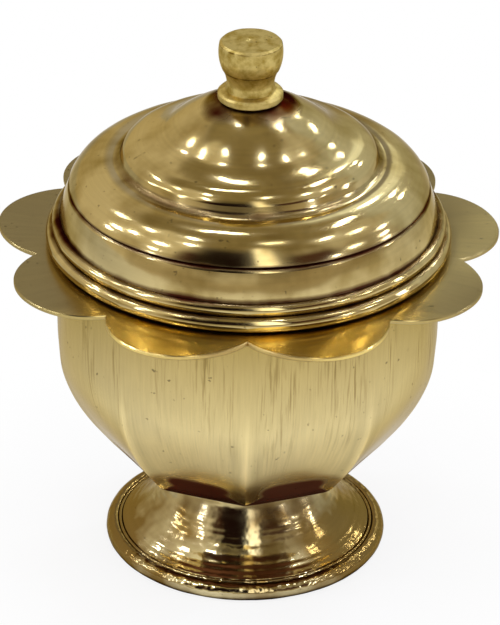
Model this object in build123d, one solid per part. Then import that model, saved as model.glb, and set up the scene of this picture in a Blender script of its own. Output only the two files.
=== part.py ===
"""Brass kumkum box: a footed bowl with a nine-petal rim and a lift-off spun lid with a turned knob.

Millimetres. The box stands on z = 0 with its axis on Z, and one notch between petals faces -Y.
"""
import os
from math import atan2, cos, hypot, radians, sin

from build123d import *

# Sheet, and the clearances between pieces that move apart
sheet = 0.6              # drawn and spun brass sheet
lid_seat_gap = 0.15      # lid rim above the petal rim when closed
sleeve_play = 0.5        # lid sleeve inside the bowl's mouth, each side

# Foot
foot_height = 11.7       # table to the foot's flat top
foot_neck_r = 9.8
foot_flare_r = 17.85     # where the flare runs into the rolled edge
foot_bead_r = 1.2        # rolled edge, section radius
foot_stand_flat = 0.25   # how much of the rolled edge is worn flat
foot_corner = 0.5        # rounding of the edge of its flat top

# Bowl
solder_gap = 0.3         # solder between the foot's top and the bowl's floor
bowl_wall_r = 26.2
bowl_seat_r = 11.0       # floor, at the ridges
bowl_height = 34.2       # underside of the floor to the top of the petal rim
belly_height = 24.0      # floor to where the wall turns upright
petals = 9
petal_root = 3.0         # wall to the notch between two petals
petal_length = 5.5       # notch to the tip of a petal
mouth_round = 0.4        # inside edge of the mouth
rim_bend = 0.6           # inside corner between wall and petal rim

# Lid: its tiers step in from the plain band above the rim, and heights count from the rim
rim_overhang = 1.95      # how far the lower bead stands out past the band
tier_step = 1.2          # band to the round tier
crown_step = 8.6         # band to the crown's edge
lid_bead_height = 4.05   # rim to the top of its two beads
lid_band_height = 8.2    # rim to the groove under the round tier
lid_tier_height = 12.1   # rim to the foot of the crown
crown_riser = 1.6        # foot of the crown to its edge
crown_round = 1.9        # rounding of the crown's shoulder
riser_lean = 0.4         # how far the riser leans out on its way down
tier_fillet = 1.1        # hollow between riser and tier
tier_round = 1.25        # rounding of the tier's outer edge
tier_lip = 0.2           # straight lip under that rounding
groove_depth = 0.35      # groove between tier and band
groove_slope = 0.3       # height of the groove's lower side
rim_bead_r = 1.05        # lower bead, section radius
upper_bead_setback = 0.8  # upper bead behind the lower one
upper_bead_rise = 0.85   # its widest point above the joint of the two
lid_crown_height = 21.25  # rim to the knob's seat
knob_seat_r = 3.3        # flat left on the crown for the knob
sleeve_sheet = 0.5
sleeve_drop = 3.7        # how far the sleeve reaches below the petal rim

# Knob and the screw that holds it
knob_height = 8.4
knob_head_r = 4.35
knob_neck_r = 3.2
knob_collar_r = 4.42
knob_taper = 0.5         # head narrower at its lower edge
knob_edge = 0.12         # head drawn in at its upper edge
knob_bevel = 0.3         # bevel round its flat top
collar_bevel = 0.25
neck_taper = 0.2
screw_r = 1.5
screw_hole_play = 0.1
screw_grip = 4.6         # thread inside the knob
screw_head_r = 2.5
screw_head_height = 1.8
screw_slot_width = 0.7
screw_slot_depth = 0.9
washer_margin = 0.25     # washer inside the crown's flat
washer_thickness = 0.5

# Sizes that follow from those
seat_z = foot_height + solder_gap
rim_top = seat_z + bowl_height
rim_under = rim_top - sheet
mouth_r = bowl_wall_r - sheet
lid_base = rim_top + lid_seat_gap
crown_z = lid_base + lid_crown_height
sleeve_r = mouth_r - sleeve_play
petal_notch_r = bowl_wall_r + petal_root
petal_tip_r = petal_notch_r + petal_length
lid_band_r = sleeve_r + sheet
lid_rim_r = lid_band_r + rim_overhang
lid_tier_r = lid_band_r - tier_step
lid_crown_r = lid_band_r - crown_step
foot_bead_centre_z = foot_bead_r - foot_stand_flat
foot_bead_centre_r = foot_flare_r + 0.42 * foot_bead_r
wire_r = foot_bead_r - sheet


def turned(*edges):
    """A solid of revolution about Z from a closed outline drawn as (radius, height)."""
    return revolve(make_face(Plane.XZ * Wire(list(edges))), Axis.Z)


def circle_through(p, q, s):
    """Centre and radius of the circle through three points."""
    d = 2 * (p[0] * (q[1] - s[1]) + q[0] * (s[1] - p[1]) + s[0] * (p[1] - q[1]))
    pp, qq, ss = (v[0] ** 2 + v[1] ** 2 for v in (p, q, s))
    x = (pp * (q[1] - s[1]) + qq * (s[1] - p[1]) + ss * (p[1] - q[1])) / d
    y = (pp * (s[0] - q[0]) + qq * (p[0] - s[0]) + ss * (q[0] - p[0])) / d
    return (x, y), hypot(p[0] - x, p[1] - y)


def ring(section_r, centre_r, centre_z):
    """A round rod bent into a closed ring."""
    return Pos(0, 0, centre_z) * Torus(centre_r, section_r)


def bowed(start, end, bow):
    """An arc between two points, bowed by this much to the left of the way it runs."""
    along, up = end[0] - start[0], end[1] - start[1]
    length = hypot(along, up)
    middle = ((start[0] + end[0]) / 2 - bow * up / length, (start[1] + end[1]) / 2 + bow * along / length)
    return ThreePointArc(start, middle, end)


def upright(radius, low, high):
    """A plain cylinder on the axis between two heights."""
    return Pos(0, 0, low) * Cylinder(radius, high - low, align=(Align.CENTER, Align.CENTER, Align.MIN))


# Foot: a flared sheet skirt with a flat top, its lower edge rolled round a wire
flare_top = (foot_neck_r, foot_height - foot_corner)
flare_mid = (foot_neck_r + 0.30 * (foot_flare_r - foot_neck_r), 0.55 * foot_height)
flare_low = (foot_flare_r, foot_bead_centre_z + 0.8 * foot_bead_r)
flare_centre, flare_radius = circle_through(flare_top, flare_mid, flare_low)


def inside(point):
    """The point on the sheet's other face, straight through from a point of the flare."""
    grow = (flare_radius + sheet) / flare_radius
    return tuple(c + grow * (v - c) for v, c in zip(point, flare_centre))


skirt = turned(
    Line((0, foot_height), (foot_neck_r - foot_corner, foot_height)),
    ThreePointArc(
        (foot_neck_r - foot_corner, foot_height),
        (foot_neck_r - 0.3 * foot_corner, foot_height - 0.3 * foot_corner),
        flare_top,
    ),
    ThreePointArc(flare_top, flare_mid, flare_low),
    Line(flare_low, inside(flare_low)),
    ThreePointArc(inside(flare_low), inside(flare_mid), inside(flare_top)),
    Line(inside(flare_top), (inside(flare_top)[0] - foot_corner, foot_height - sheet)),
    Line((inside(flare_top)[0] - foot_corner, foot_height - sheet), (0, foot_height - sheet)),
    Line((0, foot_height - sheet), (0, foot_height)),
)
rolled_edge = ring(foot_bead_r, foot_bead_centre_r, foot_bead_centre_z)
foot_wire = ring(wire_r, foot_bead_centre_r, foot_bead_centre_z)
foot = skirt + rolled_edge - foot_wire - upright(2 * foot_flare_r, -2 * foot_bead_r, 0)

# Solder: a flat film between foot and bowl
foot_solder = upright(foot_neck_r - foot_corner, foot_height, seat_z)

# Bowl: the height, radius at the ridges and flute depth of each outline, as shares of the belly
belly = (
    (0.000, 0.000, 0.45),
    (0.016, 0.165, 0.60),
    (0.042, 0.300, 0.80),
    (0.096, 0.435, 1.05),
    (0.208, 0.592, 1.30),
    (0.333, 0.740, 1.20),
    (0.500, 0.886, 0.75),
    (0.667, 0.974, 0.30),
    (0.833, 0.998, 0.05),
    (1.000, 1.000, 0.00),
)
outline = [
    (seat_z + up * belly_height, bowl_seat_r + out * (bowl_wall_r - bowl_seat_r), depth)
    for up, out, depth in belly
]
step = 360 / petals


def around(radius, turn):
    """A point at a radius, turned about the axis from the front."""
    return (radius * sin(radians(turn)), -radius * cos(radians(turn)))


def lobes(low_r, middle_r):
    """A closed outline of equal arcs, from radius low_r at each ridge through middle_r between."""
    arcs = []
    for n in range(petals):
        middle = around(middle_r, (n + 0.5) * step)
        arcs.append(ThreePointArc(around(low_r, n * step), middle, around(low_r, (n + 1) * step)))
    return Wire(arcs)


def fluted(inset, top):
    """The bowl filled solid up to a height, its surface moved inwards by inset."""
    faces = []
    for n, (height, radius, depth) in enumerate(outline):
        low = outline[max(n - 1, 0)]
        high = outline[min(n + 1, len(outline) - 1)]
        slope = atan2(high[1] - low[1], high[0] - low[0])
        height_in = height + inset * (1.0 if n == 0 else sin(slope))
        radius_in = radius - inset * (0.55 if n == 0 else cos(slope))
        section = make_face(lobes(radius_in, radius_in - depth))
        faces.append(Pos(0, 0, height_in) * section)
    wall = make_face(lobes(bowl_wall_r - inset, bowl_wall_r - inset))
    wall_low = seat_z + belly_height
    for n in (1, 2, 3):
        faces.append(Pos(0, 0, wall_low + n / 3 * (top - wall_low)) * wall)
    return loft(faces)


outer = fluted(0, rim_top)
hollow = fluted(sheet, rim_top + sheet)
petal_rim = Pos(0, 0, rim_under) * extrude(make_face(lobes(petal_notch_r, petal_tip_r)), sheet)
bowl = outer + petal_rim - hollow


def circle_edges(solid, radius, height):
    """The solid's edges that lie on one circle about the axis at one height."""
    found = []
    for edge in solid.edges():
        middle = edge @ 0.5
        if abs(middle.Z - height) < 0.01 and abs(hypot(middle.X, middle.Y) - radius) < 0.1:
            found.append(edge)
    return found


bowl = fillet(circle_edges(bowl, mouth_r, rim_top), mouth_round)
bowl = fillet(circle_edges(bowl, bowl_wall_r, rim_under), rim_bend)

# Lid: a spun dome in three tiers over two round beads
groove_z = lid_base + lid_band_height
tier_z = lid_base + lid_tier_height
band_low_z = lid_base + lid_bead_height
crown_low = tier_z + crown_riser
crown_drop = crown_z - crown_low
crown_seat = (knob_seat_r, crown_z)
crown_turn = (0.67 * lid_crown_r, crown_z - 0.59 * crown_drop)
crown_shoulder = (lid_crown_r - crown_round, crown_low + 0.7 * crown_round)
crown_edge = (lid_crown_r, crown_low)
tier_foot = (lid_crown_r + riser_lean, tier_z + tier_fillet / 2)
tier_start = (lid_crown_r + riser_lean + tier_fillet, tier_z)
tier_shoulder = (lid_tier_r - tier_round, groove_z + tier_lip + 1.04 * tier_round)
tier_edge = (lid_tier_r, groove_z + tier_lip)
groove = (lid_tier_r - groove_depth, groove_z)
band_top = (lid_tier_r + groove_slope / 3, groove_z - groove_slope)
band_low = (lid_band_r, band_low_z)
dome = (
    Line((0, crown_z), crown_seat),
    bowed(crown_seat, crown_turn, 0.52),
    bowed(crown_turn, crown_shoulder, -0.2),
    bowed(crown_shoulder, crown_edge, 0.16),
    Line(crown_edge, tier_foot),
    bowed(tier_foot, tier_start, -0.14),
    bowed(tier_start, tier_shoulder, 0.25),
    bowed(tier_shoulder, tier_edge, 0.27),
    Line(tier_edge, groove),
    Line(groove, band_top),
    bowed(band_top, band_low, 0.08),
)
bead_1 = (lid_band_r + groove_slope / 3, band_low_z - groove_slope)
bead_2 = (lid_band_r + rim_overhang / 3, lid_base + 2 * rim_bead_r)
upper_bead = (lid_rim_r - upper_bead_setback, bead_2[1] + upper_bead_rise)
rim_under_point = (lid_rim_r - rim_bead_r, lid_base)
spun = turned(
    *dome,
    Line(band_low, bead_1),
    ThreePointArc(bead_1, upper_bead, bead_2),
    ThreePointArc(bead_2, (lid_rim_r, lid_base + rim_bead_r), rim_under_point),
    Line(rim_under_point, (0, lid_base)),
    Line((0, lid_base), (0, crown_z)),
)
mirrored = [edge.mirror(Plane.YZ) for edge in dome]
floor_z = lid_base - 10 * sheet
section = make_face(
    Wire(
        list(dome)
        + mirrored
        + [
            Line(band_low, (lid_band_r, floor_z)),
            Line((lid_band_r, floor_z), (-lid_band_r, floor_z)),
            Line((-lid_band_r, floor_z), (-lid_band_r, band_low_z)),
        ]
    )
)
inner_section = offset(section, -sheet)
inner_half = inner_section & Pos(lid_band_r, crown_z / 2) * Rectangle(2 * lid_band_r, 2 * crown_z)
screw_hole = upright(screw_r + screw_hole_play, lid_base, crown_z + sheet)
lid = spun - revolve(Plane.XZ * inner_half, Axis.Z) - screw_hole

# Sleeve: a plain ring inside the lid's rim that keeps it in the mouth
sleeve_low = rim_top - sleeve_drop
sleeve_high = band_low_z - sheet
sleeve_bore = upright(sleeve_r - sleeve_sheet, sleeve_low, sleeve_high)
lid_sleeve = upright(sleeve_r, sleeve_low, sleeve_high) - sleeve_bore

# Knob: turned from rod, tapped from below
knob_top = crown_z + knob_height


def knob_point(radius, share):
    """A point of the knob's outline at a share of its height."""
    return (radius, crown_z + share * knob_height)


head_low = knob_point(knob_head_r - knob_taper, 0.525)
neck = knob_point(knob_neck_r, 0.275)
neck_foot = knob_point(knob_neck_r + neck_taper, 0.17)
head_edge = knob_point(knob_head_r - knob_edge, 0.965)
flat_edge = knob_point(knob_head_r - knob_edge - knob_bevel, 1)
collar_top = knob_point(knob_collar_r - collar_bevel, 0.14)
collar_foot = knob_point(knob_collar_r - 0.8 * collar_bevel, 0)
knob = turned(
    Line((0, crown_z), collar_foot),
    Line(collar_foot, knob_point(knob_collar_r, 0.025)),
    Line(knob_point(knob_collar_r, 0.025), knob_point(knob_collar_r, 0.11)),
    Line(knob_point(knob_collar_r, 0.11), collar_top),
    Line(collar_top, neck_foot),
    Line(neck_foot, neck),
    ThreePointArc(neck, knob_point(knob_neck_r + 1.1 * neck_taper, 0.4), head_low),
    ThreePointArc(head_low, knob_point(knob_head_r, 0.78), head_edge),
    Line(head_edge, flat_edge),
    Line(flat_edge, (0, knob_top)),
    Line((0, knob_top), (0, crown_z)),
) - upright(screw_r, crown_z, crown_z + screw_grip + screw_r)

# Screw and washer under the crown
washer_top = crown_z - sheet
head_top = washer_top - washer_thickness
washer_r = knob_seat_r - washer_margin
knob_washer = upright(washer_r, head_top, washer_top) - screw_hole
head_low_z = head_top - screw_head_height
screw_head = upright(screw_head_r, head_low_z, head_top)
screw_slot = Pos(0, 0, head_low_z) * Box(3 * screw_head_r, screw_slot_width, 2 * screw_slot_depth)
knob_screw = screw_head - screw_slot + upright(screw_r, head_top, crown_z + screw_grip)

os.makedirs("parts", exist_ok=True)
for name, solid in (
    ("bowl", bowl),
    ("foot", foot),
    ("foot_wire", foot_wire),
    ("foot_solder", foot_solder),
    ("lid", lid),
    ("lid_sleeve", lid_sleeve),
    ("knob", knob),
    ("knob_screw", knob_screw),
    ("knob_washer", knob_washer),
):
    export_step(solid, f"parts/{name}.step")
    box = solid.bounding_box()
    print(name, round(solid.volume, 1), "mm3, z", round(box.min.Z, 2), "to", round(box.max.Z, 2))
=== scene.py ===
# %% [markdown]
# # A brass kumkum box
# A small footed box for vermilion powder, as it stands in a house shrine: a bowl drawn from
# sheet with nine flutes and nine petals, a spun foot, and a spun lid with a turned knob.
# The solids come in first and stay where they are. Everything below dresses them.

# %% Load the solids
import math

import bmesh
import bpy
import numpy as np
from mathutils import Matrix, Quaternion, Vector


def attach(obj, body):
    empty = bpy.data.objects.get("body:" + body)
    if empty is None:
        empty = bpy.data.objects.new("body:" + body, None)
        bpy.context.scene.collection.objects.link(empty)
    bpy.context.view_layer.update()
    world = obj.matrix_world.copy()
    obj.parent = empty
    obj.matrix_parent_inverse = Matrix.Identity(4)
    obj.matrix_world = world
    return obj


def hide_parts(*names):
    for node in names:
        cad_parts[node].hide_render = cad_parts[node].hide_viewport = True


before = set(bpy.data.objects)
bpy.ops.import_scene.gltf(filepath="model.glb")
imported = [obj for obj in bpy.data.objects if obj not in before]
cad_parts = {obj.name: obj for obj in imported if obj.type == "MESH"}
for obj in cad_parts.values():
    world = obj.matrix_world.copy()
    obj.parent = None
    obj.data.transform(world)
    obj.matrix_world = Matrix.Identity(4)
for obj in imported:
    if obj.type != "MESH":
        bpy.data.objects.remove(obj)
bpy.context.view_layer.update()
scene = bpy.context.scene
MM = 0.001

# %% [markdown]
# ## The camera
# The photograph was taken from in front and about 29 degrees above. The camera could be placed
# by eye, but the ellipses of the lid, rim and foot give that angle, and how much flatter the
# upper ones are gives the distance: about 0.6 m, through a long lens. The box leans a little in
# the picture, so the camera rolls.

# %% Place the camera
PHOTO_LONG_SIDE, FOCAL_PIXELS, SHIFT_PIXELS = 625, 4500, (2.3, 2.0)
BOX_HEIGHT, BOX_HEIGHT_PIXELS, LOOK_AT_HEIGHT = 76.0, 552, 34.4
elevation, lean_angle = math.radians(28.7), math.radians(0.7)
look_at = Vector((0, 0, LOOK_AT_HEIGHT * MM))
towards_camera = Vector((0, -math.cos(elevation), math.sin(elevation)))
lens = bpy.data.cameras.new("photo_lens")
lens.sensor_width = 36
lens.lens = lens.sensor_width * FOCAL_PIXELS / PHOTO_LONG_SIDE
lens.shift_x, lens.shift_y = (pixels / PHOTO_LONG_SIDE for pixels in SHIFT_PIXELS)
camera = bpy.data.objects.new("photo_camera", lens)
camera.location = look_at + towards_camera * FOCAL_PIXELS * (BOX_HEIGHT / BOX_HEIGHT_PIXELS) * MM
camera.rotation_mode = "QUATERNION"
lean = Quaternion((0, 0, 1), lean_angle)
camera.rotation_quaternion = (-towards_camera).to_track_quat("-Z", "Y") @ lean
scene.collection.objects.link(camera)
bpy.context.scene.camera = camera
print("camera distance m", round((camera.location - look_at).length, 3), "lens mm", round(lens.lens, 1))

# %% [markdown]
# ## Helpers for node trees
# Materials and shapes are both node trees. They could be drawn by hand in the node editor. In
# code one small function adds any node: it sets the node's options, fills each socket with a
# value or links it to another node's output, and returns the output that the next one needs.

# %% One function for every node
def add_node(tree, kind, sockets=None, out=0, **options):
    """Adds a node with its options, fills or links its sockets, and returns one output or all."""
    node = tree.nodes.new(kind)
    for option, value in options.items():
        setattr(node, option, value)
    for key, value in (sockets or {}).items():
        if isinstance(value, bpy.types.NodeSocket):
            tree.links.new(value, node.inputs[key])
        else:
            node.inputs[key].default_value = value
    return node.outputs if out is None else node.outputs[out]


def linear(hex_colour):
    """A colour written as sRGB hex, in the linear values that Blender's sockets take."""
    parts = [int(hex_colour[i : i + 2], 16) / 255 for i in (1, 3, 5)]
    return tuple(p / 12.92 if p <= 0.04045 else ((p + 0.055) / 1.055) ** 2.4 for p in parts) + (1.0,)


def per_mm(size_mm):
    """The texture scale that gives features of about this size."""
    return 1 / (size_mm * MM)


print("polished brass as linear values", [round(v, 3) for v in linear("#d0b46c")[:3]])

# %% [markdown]
# ## Brass, five ways
# One metal, finished differently on each piece. Brass keeps its own yellow, and what the eye
# tells apart is how it was worked: the lid is mirror polished on the lathe, the bowl keeps the
# upright lines of the drawing die, the petals have browned, the knob shows the turning tool.
# Each finish could be a tree of its own. They differ mostly in their settings, so one function
# builds them all, with the help of a few that each add one thing that tool, hand or age left, and
# the painted shade, reflections and highlights.

# %% Which way the tool went
UPRIGHT_MARKS_R, UPRIGHT_DRIFT = 26, 0.05


def mark_places(tree, marks, axes):
    """Where marks are read: round ones change with radius and height, upright ones with direction."""
    flat = add_node(tree, "ShaderNodeCombineXYZ", {"X": axes["X"], "Y": axes["Y"]})
    if marks != "upright":
        radius = add_node(tree, "ShaderNodeVectorMath", {0: flat}, operation="LENGTH", out="Value")
        return add_node(tree, "ShaderNodeCombineXYZ", {"X": radius, "Z": axes["Z"]})
    around = add_node(tree, "ShaderNodeVectorMath", {0: flat}, operation="NORMALIZE")
    wrapped = add_node(
        tree, "ShaderNodeVectorMath", {0: around, "Scale": UPRIGHT_MARKS_R * MM}, operation="SCALE"
    )
    slow = add_node(tree, "ShaderNodeMath", {0: axes["Z"], 1: UPRIGHT_DRIFT}, operation="MULTIPLY")
    lift = add_node(tree, "ShaderNodeCombineXYZ", {"Z": slow})
    return add_node(tree, "ShaderNodeVectorMath", {0: wrapped, 1: lift})


print("upright marks run round a radius of", UPRIGHT_MARKS_R, "mm")

# %% Petals and ridges: painted reflection and highlights, and wear
FRONT_REFLECTION_FROM_Y, FRONT_REFLECTION_AT_Y, FRONT_REFLECTION_COLOUR, RIDGE_RUBBED_AND_LIT = -20, -29, "#ead080", 0.3


def petals_and_ridges_worn_and_lit(tree, colour, rim, petals, axes):
    """Browned petals with a painted reflection in front, and ridges lighter from rubbing and a painted
    highlight.
    """
    # The petals in front are painted paler and yellower: a painted reflection of the lid's beads above them.
    front_reflection = add_node(
        tree, "ShaderNodeMapRange",
        {"Value": axes["Y"], "From Min": FRONT_REFLECTION_FROM_Y * MM, "From Max": FRONT_REFLECTION_AT_Y * MM},
    )
    petal_colour = add_node(
        tree, "ShaderNodeMix", {"Factor": front_reflection, 6: linear(petals), 7: linear(FRONT_REFLECTION_COLOUR)},
        data_type="RGBA", out=2,
    )
    colour = add_node(
        tree, "ShaderNodeMix", {"Factor": rim, 6: colour, 7: petal_colour}, data_type="RGBA", out=2
    )
    # The ridges between the flutes are lighter, from rubbing and as a painted highlight, with darker lines
    # along both their sides.
    ridge = add_node(tree, "ShaderNodeAttribute", attribute_name="ridge", out="Fac")
    rubbed_and_lit = add_node(tree, "ShaderNodeMath", {0: ridge, 1: RIDGE_RUBBED_AND_LIT, 2: 1.0}, operation="MULTIPLY_ADD")
    return add_node(tree, "ShaderNodeVectorMath", {0: colour, "Scale": rubbed_and_lit}, operation="SCALE")


# The painted reflection on the petals begins this far in front of the axis.
print("petals are cleaner from", -FRONT_REFLECTION_FROM_Y, "mm in front of the axis")

# %% Dirt in the die's scratches
SCRATCH_MM, SCRATCH_GROUP_MM, SCRATCH_COLOUR, TOP_SHADE_COLOUR = 0.32, 2.6, "#7d6430", "#a0863a"
SCRATCHED_FROM_Z, SCRATCHED_AT_Z, TOP_SHADE_FROM_Z, TOP_SHADE_AT_Z = 20, 44, 30, 45


def scratched(tree, colour, rim, axes, marks_at):
    """Short dark dashes in groups, most of them high on the wall, and painted shade that darkens the wall
    towards the petals.
    """
    high = add_node(
        tree, "ShaderNodeMapRange",
        {"Value": axes["Z"], "From Min": SCRATCHED_FROM_Z * MM, "From Max": SCRATCHED_AT_Z * MM,
         "To Min": 0.08, "To Max": 0.85},
    )
    groups = add_node(
        tree, "ShaderNodeTexNoise", {"Vector": marks_at, "Scale": per_mm(SCRATCH_GROUP_MM), "Detail": 1.0}
    )
    grouped = add_node(
        tree, "ShaderNodeMapRange", {"Value": groups, "From Min": 0.42, "From Max": 0.64, "To Min": 0.12}
    )
    off_rim = add_node(tree, "ShaderNodeMath", {0: 1.0, 1: rim}, operation="SUBTRACT")
    for share in (grouped, off_rim):
        high = add_node(tree, "ShaderNodeMath", {0: high, 1: share}, operation="MULTIPLY")
    # Painted shade: the wall darkens towards the top, under the petals.
    top_shade = add_node(
        tree, "ShaderNodeMapRange",
        {"Value": axes["Z"], "From Min": TOP_SHADE_FROM_Z * MM, "From Max": TOP_SHADE_AT_Z * MM, "To Max": 0.8},
    )
    top_shade = add_node(tree, "ShaderNodeMath", {0: top_shade, 1: off_rim}, operation="MULTIPLY")
    colour = add_node(
        tree, "ShaderNodeMix", {"Factor": top_shade, 6: colour, 7: linear(TOP_SHADE_COLOUR)}, data_type="RGBA", out=2
    )
    scratches = add_node(
        tree, "ShaderNodeTexNoise", {"Vector": marks_at, "Scale": per_mm(SCRATCH_MM), "Detail": 2.0}
    )
    scratch_mask = add_node(
        tree, "ShaderNodeMapRange", {"Value": scratches, "From Min": 0.50, "From Max": 0.68, "To Max": high}
    )
    return add_node(
        tree, "ShaderNodeMix", {"Factor": scratch_mask, 6: colour, 7: linear(SCRATCH_COLOUR)},
        data_type="RGBA", out=2,
    )


print("scratches", SCRATCH_MM, "mm wide, in groups of", SCRATCH_GROUP_MM, "mm")

# %% Stain and painted shade, pits and dents
PIT_MM, PIT_COLOUR = 0.9, "#3a2a14"
ROLL_TOP_Z, SKIRT_Z = 2.1, 2.6


def stain_and_shade_share(tree, blotches, aside):
    """How much dirt, tarnish and painted shade a place gets: what the shape says, made uneven by the
    blotches.
    """
    stain_and_shade = add_node(tree, "ShaderNodeAttribute", attribute_name="stain_and_shade", out="Fac")
    uneven = add_node(tree, "ShaderNodeMath", {0: blotches, 1: 0.9, 2: -0.2}, operation="MULTIPLY_ADD")
    if aside is not None:
        # Left and right, less of the painted shade and dirt is kept, so the bowl stays pale nearly to the
        # foot.
        side_reach = add_node(tree, "ShaderNodeMath", {0: aside, 1: aside}, operation="MULTIPLY")
        kept_at_sides = add_node(
            tree, "ShaderNodeMapRange",
            {"Value": side_reach, "From Min": 0.030, "From Max": 0.065, "To Min": 1.0, "To Max": 0.42},
        )
        stain_and_shade = add_node(tree, "ShaderNodeMath", {0: stain_and_shade, 1: kept_at_sides}, operation="MULTIPLY")
    stain_and_shade_edge = add_node(tree, "ShaderNodeMath", {0: stain_and_shade, 1: uneven}, operation="ADD")
    return add_node(tree, "ShaderNodeMapRange", {"Value": stain_and_shade_edge, "From Min": 0.45, "From Max": 1.0})


def pitted(tree, colour, place, specks):
    """Small dark pits, as a casting or old sheet has them."""
    pits = add_node(tree, "ShaderNodeTexNoise", {"Vector": place, "Scale": per_mm(PIT_MM), "Detail": 2.0})
    pit_mask = add_node(
        tree, "ShaderNodeMapRange", {"Value": pits, "From Min": 0.70, "From Max": 0.75, "To Max": specks}
    )
    return add_node(
        tree, "ShaderNodeMix", {"Factor": pit_mask, 6: colour, 7: linear(PIT_COLOUR)},
        data_type="RGBA", out=2,
    )


def dented(tree, bump, place, axes, dents_mm):
    """Dents from tapping the rolled edge round its wire, so they are deepest there."""
    dents = add_node(
        tree, "ShaderNodeTexNoise", {"Vector": place, "Scale": per_mm(dents_mm), "Detail": 1.0}
    )
    deep = add_node(
        tree, "ShaderNodeMapRange",
        {"Value": axes["Z"], "From Min": ROLL_TOP_Z * MM, "From Max": SKIRT_Z * MM,
         "To Min": 0.14 * dents_mm * MM, "To Max": 0.03 * dents_mm * MM},
    )
    return add_node(
        tree, "ShaderNodeBump", {"Height": dents, "Strength": 1.0, "Distance": deep, "Normal": bump}
    )


print("pits of", PIT_MM, "mm")

# %% One finish, put together
DULL_ROUGHER, STAIN_AND_SHADE_ROUGHER, SHEEN_COLOUR = 0.09, 0.22, "#e0d4b8"


def brass_finish(
    name, clean, dull, stain_and_shade_colour, rough, blotch_mm, marks, mark_mm, mark_depth_mm,
    specks=0.0, petals=None, side_shade_mm=0.0, dents_mm=0.0,
):
    """Brass as one tool left it. marks says which way the tool went: round, upright or none."""
    material = bpy.data.materials.new(name)
    material.use_nodes = True
    tree = material.node_tree
    surface = tree.nodes["Principled BSDF"]
    place = add_node(tree, "ShaderNodeTexCoord", out="Object")
    axes = add_node(tree, "ShaderNodeSeparateXYZ", {"Vector": place}, out=None)
    marks_at = mark_places(tree, marks, axes)
    tool_marks = add_node(
        tree, "ShaderNodeTexNoise",
        {"Vector": marks_at, "Scale": per_mm(mark_mm), "Detail": 3.0, "Roughness": 0.6},
    )
    blotches = add_node(
        tree, "ShaderNodeTexNoise",
        {"Vector": place, "Scale": per_mm(blotch_mm), "Detail": 3.0, "Roughness": 0.55},
    )
    dull_and_side_shade, aside = blotches, None
    if side_shade_mm:
        # Left and right are painted duller and browner: a painted shade towards the sides.
        aside = add_node(tree, "ShaderNodeMath", {0: axes["X"], 1: per_mm(side_shade_mm)}, operation="MULTIPLY")
        dull_and_side_shade = add_node(tree, "ShaderNodeMath", {0: aside, 1: aside, 2: blotches}, operation="MULTIPLY_ADD")
    dullness = add_node(tree, "ShaderNodeMapRange", {"Value": dull_and_side_shade, "From Min": 0.40, "From Max": 0.68})
    colour = add_node(
        tree, "ShaderNodeMix", {"Factor": dullness, 6: linear(clean), 7: linear(dull)},
        data_type="RGBA", out=2,
    )
    roughness = add_node(
        tree, "ShaderNodeMath", {0: dullness, 1: DULL_ROUGHER, 2: rough}, operation="MULTIPLY_ADD"
    )
    rim = add_node(tree, "ShaderNodeAttribute", attribute_name="rim", out="Fac") if petals else None
    if petals:
        colour = petals_and_ridges_worn_and_lit(tree, colour, rim, petals, axes)
    if marks != "none":
        tone = add_node(
            tree, "ShaderNodeMapRange",
            {"Value": tool_marks, "From Min": 0.3, "From Max": 0.7, "To Min": 0.94, "To Max": 1.04},
        )
        colour = add_node(tree, "ShaderNodeVectorMath", {0: colour, "Scale": tone}, operation="SCALE")
    if marks == "upright":
        colour = scratched(tree, colour, rim, axes, marks_at)
    # This mask covers real tarnish and painted shade alike.
    stain_and_shade_mask = stain_and_shade_share(tree, blotches, aside if petals else None)
    colour = add_node(
        tree, "ShaderNodeMix", {"Factor": stain_and_shade_mask, 6: colour, 7: linear(stain_and_shade_colour)}, data_type="RGBA", out=2
    )
    if specks:
        colour = pitted(tree, colour, place, specks)
    roughness = add_node(
        tree, "ShaderNodeMath", {0: stain_and_shade_mask, 1: STAIN_AND_SHADE_ROUGHER, 2: roughness}, operation="MULTIPLY_ADD"
    )
    # Tarnish and painted shade take the sheen too: without this the dark places would still shine at a low
    # angle.
    sheen = add_node(
        tree, "ShaderNodeMix", {"Factor": stain_and_shade_mask, 6: linear(SHEEN_COLOUR), 7: linear(stain_and_shade_colour)},
        data_type="RGBA", out=2,
    )
    bump = add_node(
        tree, "ShaderNodeBump", {"Height": tool_marks, "Strength": 1.0, "Distance": mark_depth_mm * MM}
    )
    if dents_mm:
        bump = dented(tree, bump, place, axes, dents_mm)
    tree.links.new(colour, surface.inputs["Base Color"])
    tree.links.new(roughness, surface.inputs["Roughness"])
    tree.links.new(sheen, surface.inputs["Specular Tint"])
    tree.links.new(bump, surface.inputs["Normal"])
    surface.inputs["Metallic"].default_value = 1.0
    print("finish", name, len(tree.nodes), "nodes")
    return material


# %% The five finishes
# Real tool marks lie about 0.1 mm apart. They are drawn wider, so that they show in a picture.

# Mirror polish: the room shows in it almost sharply, and lamps show as white patches.
lid_brass = brass_finish(
    "brass_spun_and_mirror_polished", clean="#d2be86", dull="#a48d54", stain_and_shade_colour="#452014",
    rough=0.10, blotch_mm=8.0, marks="round", mark_mm=0.5, mark_depth_mm=0.001, specks=0.5,
)
# Drawn over a die: paler and softer, streaked upright, with dirt in the scratches and painted shade.
bowl_brass = brass_finish(
    "brass_drawn_over_a_die", clean="#e0cd94", dull="#d4c28e", stain_and_shade_colour="#6e4836",
    rough=0.17, blotch_mm=14.0, marks="upright", mark_mm=0.35, mark_depth_mm=0.002, specks=0.6,
    petals="#a69462", side_shade_mm=66,
)
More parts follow.
